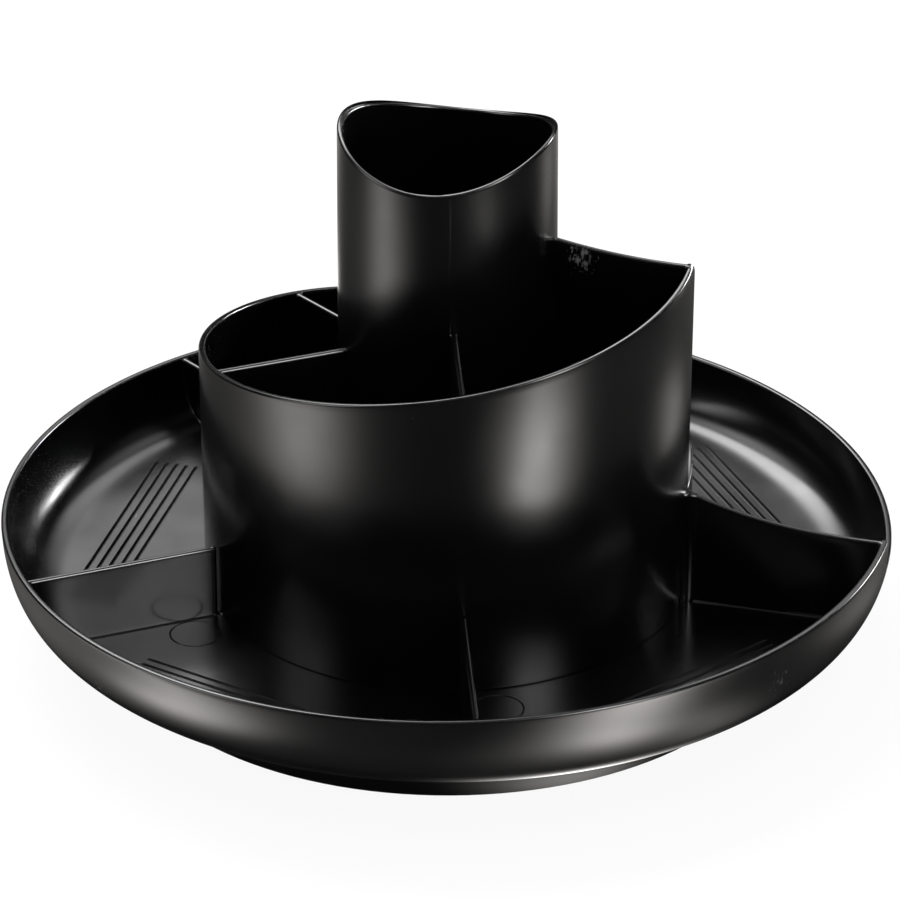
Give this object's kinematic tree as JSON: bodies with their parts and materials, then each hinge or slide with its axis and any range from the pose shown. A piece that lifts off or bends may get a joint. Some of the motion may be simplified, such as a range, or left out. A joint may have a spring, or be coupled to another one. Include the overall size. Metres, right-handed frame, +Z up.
{
  "type": "desk organizer",
  "caption": "Rotary desk organizer: a round divided tray with a spiral rim, a spiral divided tower and a tall pencil cup, turning on a ball-bearing base.",
  "frame": {"origin": "centre of the turntable's axis on the surface that the feet stand on", "axes": "+Z up along the turntable's axis, -Y the front, +X to the right as the organizer faces the viewer"},
  "size_m": [0.2794, 0.2798, 0.175],
  "materials": {
    "black_plastic": "satin-gloss injection-moulded black plastic with fine scuffs",
    "feet_rubber": "matte soft rubber",
    "bearing_steel": "polished hardened steel",
    "plated_steel": "zinc-plated steel",
    "cage_nylon": "natural nylon"
  },
  "bodies": {
    "base": {"base_plate": "black_plastic", "foot_1": "feet_rubber", "foot_2": "feet_rubber", "foot_3": "feet_rubber", "foot_4": "feet_rubber"},
    "cage": {"ball_cage": "cage_nylon", "bearing_ball_1": "bearing_steel", "bearing_ball_2": "bearing_steel", "bearing_ball_3": "bearing_steel", "bearing_ball_4": "bearing_steel", "bearing_ball_5": "bearing_steel", "bearing_ball_6": "bearing_steel", "bearing_ball_7": "bearing_steel", "bearing_ball_8": "bearing_steel", "bearing_ball_9": "bearing_steel", "bearing_ball_10": "bearing_steel", "bearing_ball_11": "bearing_steel", "bearing_ball_12": "bearing_steel"},
    "turntable": {"tray": "black_plastic", "tower": "black_plastic", "tower_screws": "plated_steel", "pivot_washer": "plated_steel", "pivot_screw": "plated_steel"}
  },
  "joints": [
    {"name": "turntable_spin", "type": "hinge", "parent": "base", "child": "turntable", "pos_m": [0, 0, 0.0161], "axis": [0, 0, 1], "continuous": true},
    {"name": "cage_spin", "type": "hinge", "parent": "base", "child": "cage", "pos_m": [0, 0, 0.0161], "axis": [0, 0, 1], "continuous": true}
  ],
  "couplings": [
    {"joint": "cage_spin", "follows": "turntable_spin", "ratio": 0.5}
  ]
}
